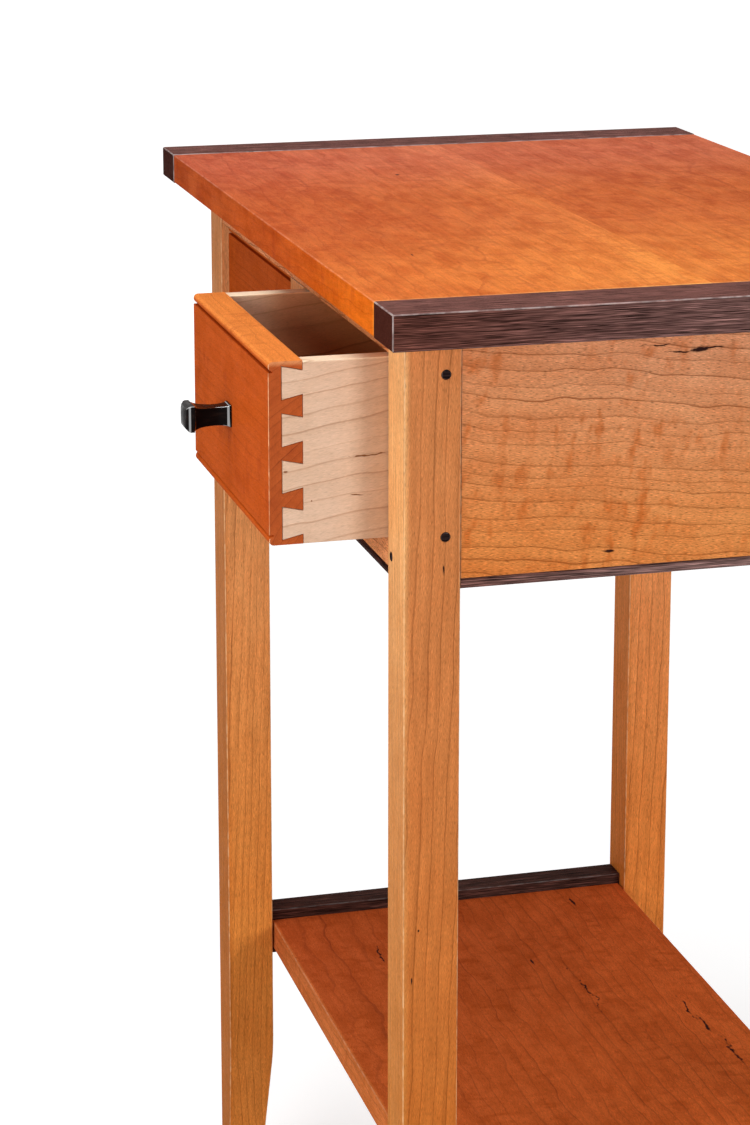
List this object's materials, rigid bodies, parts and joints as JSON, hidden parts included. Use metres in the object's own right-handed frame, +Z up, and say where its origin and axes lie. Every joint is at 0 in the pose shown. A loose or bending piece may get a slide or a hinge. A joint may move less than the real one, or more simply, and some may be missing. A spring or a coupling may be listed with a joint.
{
  "type": "hall table",
  "caption": "Cherry hall table with tapered square legs, side-by-side drawers, a low shelf and dark breadboard ends, beads, pegs and square pulls.",
  "frame": {"origin": "on the floor, under the middle of the table's bounding box with the right drawer standing open as stored", "axes": "+Z up, +X along the front towards the table's right-hand end as seen from the front, -Y the way the drawers open"},
  "size_m": [0.713, 0.539, 0.914],
  "materials": {
    "cherry_top": "satin oiled",
    "cherry_leg": "satin oiled",
    "cherry_panel": "satin oiled",
    "cherry_drawer": "satin oiled",
    "cherry_shelf": "satin oiled",
    "maple": "satin",
    "maple_bottom": "satin",
    "poplar": "planed, bare",
    "wenge": "satin oiled",
    "ebony": "polished",
    "steel": "plain"
  },
  "bodies": {
    "table": {"apron_back": "cherry_panel", "apron_left": "cherry_panel", "apron_right": "cherry_panel", "bead_back": "wenge", "bead_front": "wenge", "bead_left": "wenge", "bead_right": "wenge", "breadboard_left": "wenge", "breadboard_right": "wenge", "drawer_divider": "cherry_leg", "drawer_stop_left": "poplar", "drawer_stop_right": "poplar", "kicker_centre": "poplar", "kicker_left": "poplar", "kicker_right": "poplar", "leg_back_left": "cherry_leg", "leg_back_right": "cherry_leg", "leg_front_left": "cherry_leg", "leg_front_right": "cherry_leg", "peg_back_left_1": "wenge", "peg_back_left_2": "wenge", "peg_back_right_1": "wenge", "peg_back_right_2": "wenge", "peg_end_left_back_1": "wenge", "peg_end_left_back_2": "wenge", "peg_end_left_front_1": "wenge", "peg_end_left_front_2": "wenge", "peg_end_right_back_1": "wenge", "peg_end_right_back_2": "wenge", "peg_end_right_front_1": "wenge", "peg_end_right_front_2": "wenge", "peg_front_left": "wenge", "peg_front_right": "wenge", "rail_front_lower": "cherry_panel", "rail_front_upper": "cherry_panel", "runner_centre": "poplar", "runner_left": "poplar", "runner_right": "poplar", "shelf": "cherry_shelf", "stretcher_left": "wenge", "stretcher_right": "wenge", "top_panel": "cherry_top", "top_screw_left_back": "steel", "top_screw_left_front": "steel", "top_screw_right_back": "steel", "top_screw_right_front": "steel"},
    "drawer_left": {"drawer_left_back": "maple", "drawer_left_bottom": "maple_bottom", "drawer_left_front": "cherry_drawer", "drawer_left_pull": "ebony", "drawer_left_side_left": "maple", "drawer_left_side_right": "maple"},
    "drawer_right": {"drawer_right_back": "maple", "drawer_right_bottom": "maple_bottom", "drawer_right_front": "cherry_drawer", "drawer_right_pull": "ebony", "drawer_right_side_left": "maple", "drawer_right_side_right": "maple"}
  },
  "joints": [
    {"name": "drawer_left_slide", "type": "slide", "parent": "table", "child": "drawer_left", "axis": [0, -1, 0], "range_m": [0, 0.25]},
    {"name": "drawer_right_slide", "type": "slide", "parent": "table", "child": "drawer_right", "axis": [0, -1, 0], "range_m": [-0.085, 0.165]}
  ]
}
